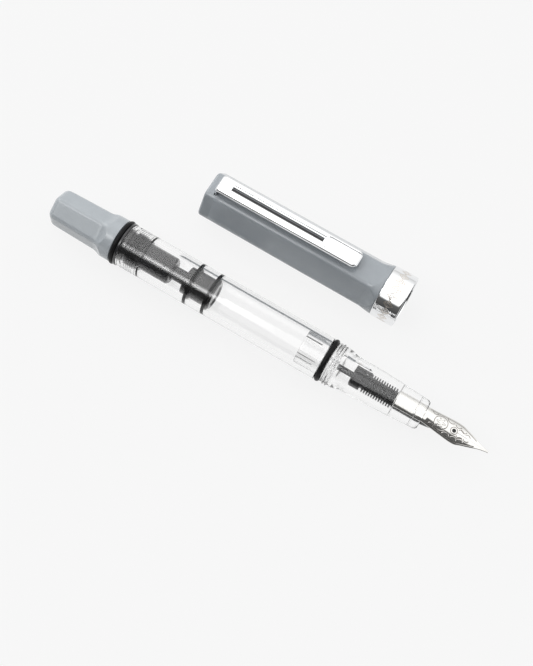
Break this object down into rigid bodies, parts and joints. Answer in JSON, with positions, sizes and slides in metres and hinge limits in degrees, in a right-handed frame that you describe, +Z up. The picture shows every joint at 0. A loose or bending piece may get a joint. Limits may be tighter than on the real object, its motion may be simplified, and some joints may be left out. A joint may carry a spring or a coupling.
{
  "type": "fountain pen",
  "caption": "Piston-filling fountain pen with a clear barrel and grip, a grey hexagonal turning knob, and a grey hexagonal screw cap with chrome band and slotted spring clip lying beside it.",
  "frame": {"origin": "on the table, under the centre of the pen and cap together", "axes": "+X along the pen towards its nib, +Y from the pen towards the cap, +Z up"},
  "size_m": [0.1314, 0.0386, 0.017],
  "materials": {
    "clear_plastic": "clear polished",
    "grey_plastic": "gloss",
    "black_plastic": "satin",
    "black_rubber": "smooth rubber",
    "chrome": "polished",
    "nib_steel": "polished with engraving",
    "feed_plastic": "matt",
    "liner_plastic": "satin",
    "spindle_plastic": "satin",
    "plain_steel": "turned"
  },
  "bodies": {
    "pen": {"barrel": "clear_plastic", "grip_section": "clear_plastic", "section_o_ring": "black_rubber", "feed": "feed_plastic", "nib": "nib_steel", "connector": "black_plastic", "guide_sleeve": "black_plastic"},
    "knob_ring": {"posting_o_ring": "black_rubber"},
    "turning_knob": {"knob": "grey_plastic", "knob_sleeve": "black_plastic", "spindle": "spindle_plastic"},
    "piston": {"piston_rod": "black_plastic", "piston_head": "black_plastic", "rear_seal": "black_rubber", "front_seal": "black_rubber"},
    "cap": {"cap_shell": "grey_plastic", "inner_cap": "liner_plastic", "cap_band": "chrome", "finial": "grey_plastic", "finial_screw": "plain_steel", "clip_washer": "plain_steel"},
    "spring_clip": {"clip": "chrome"}
  },
  "joints": [
    {"name": "knob_rise", "type": "slide", "parent": "pen", "child": "knob_ring", "axis": [-1, 0, 0], "range_m": [0, 0.0044]},
    {"name": "knob_turn", "type": "hinge", "parent": "knob_ring", "child": "turning_knob", "pos_m": [-0.0557, -0.01287, 0.0064], "axis": [-1, 0, 0], "range_deg": [0, 1260]},
    {"name": "piston_slide", "type": "slide", "parent": "pen", "child": "piston", "axis": [1, 0, 0], "range_m": [0, 0.026]},
    {"name": "cap_carry", "type": "hinge", "parent": "pen", "child": "cap", "pos_m": [0.04988, -0.0005, 0.0069], "axis": [0, 0.0404, -0.9992], "range_deg": [0, 180]},
    {"name": "clip_flex", "type": "hinge", "parent": "cap", "child": "spring_clip", "pos_m": [-0.02975, 0.01188, 0.0135], "axis": [0, -1, 0], "range_deg": [0, 3], "stiffness_Nm_per_rad": 0.5}
  ],
  "couplings": [
    {"joint": "knob_rise", "follows": "piston_slide", "ratio": 0.1692},
    {"joint": "knob_turn", "follows": "piston_slide", "rad_per_m": 845.8}
  ]
}
